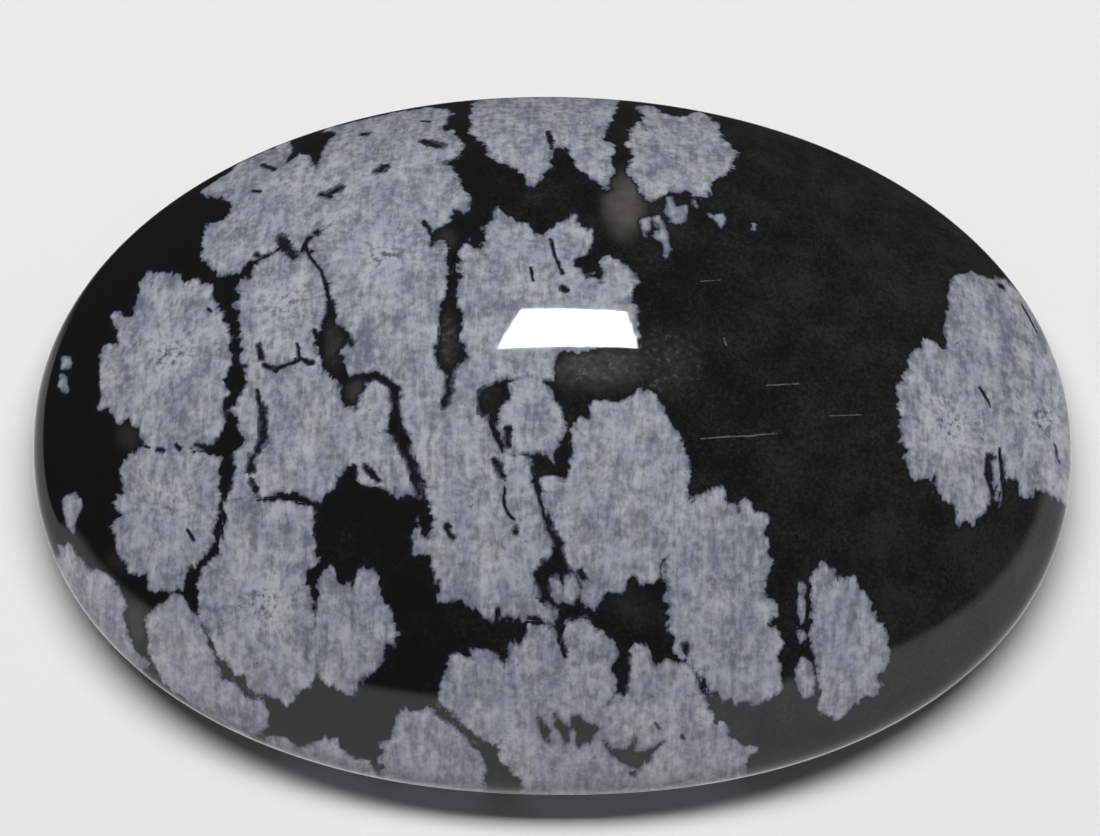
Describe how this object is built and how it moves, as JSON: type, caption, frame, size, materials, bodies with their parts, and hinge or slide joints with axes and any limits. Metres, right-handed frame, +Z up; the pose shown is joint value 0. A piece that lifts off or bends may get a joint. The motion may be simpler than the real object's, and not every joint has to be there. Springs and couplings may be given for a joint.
{
  "type": "snowflake obsidian cabochon",
  "caption": "Oval domed cabochon of polished snowflake obsidian with a flat back and a softly rounded edge.",
  "frame": {"origin": "centre of the flat back, which lies on z = 0", "axes": "+Z up through the dome, +X along the long axis of the oval"},
  "size_m": [0.03, 0.022, 0.0065],
  "materials": {
    "snowflake_obsidian": "polished"
  },
  "bodies": {
    "root": {"cabochon": "snowflake_obsidian"}
  },
  "joints": []
}
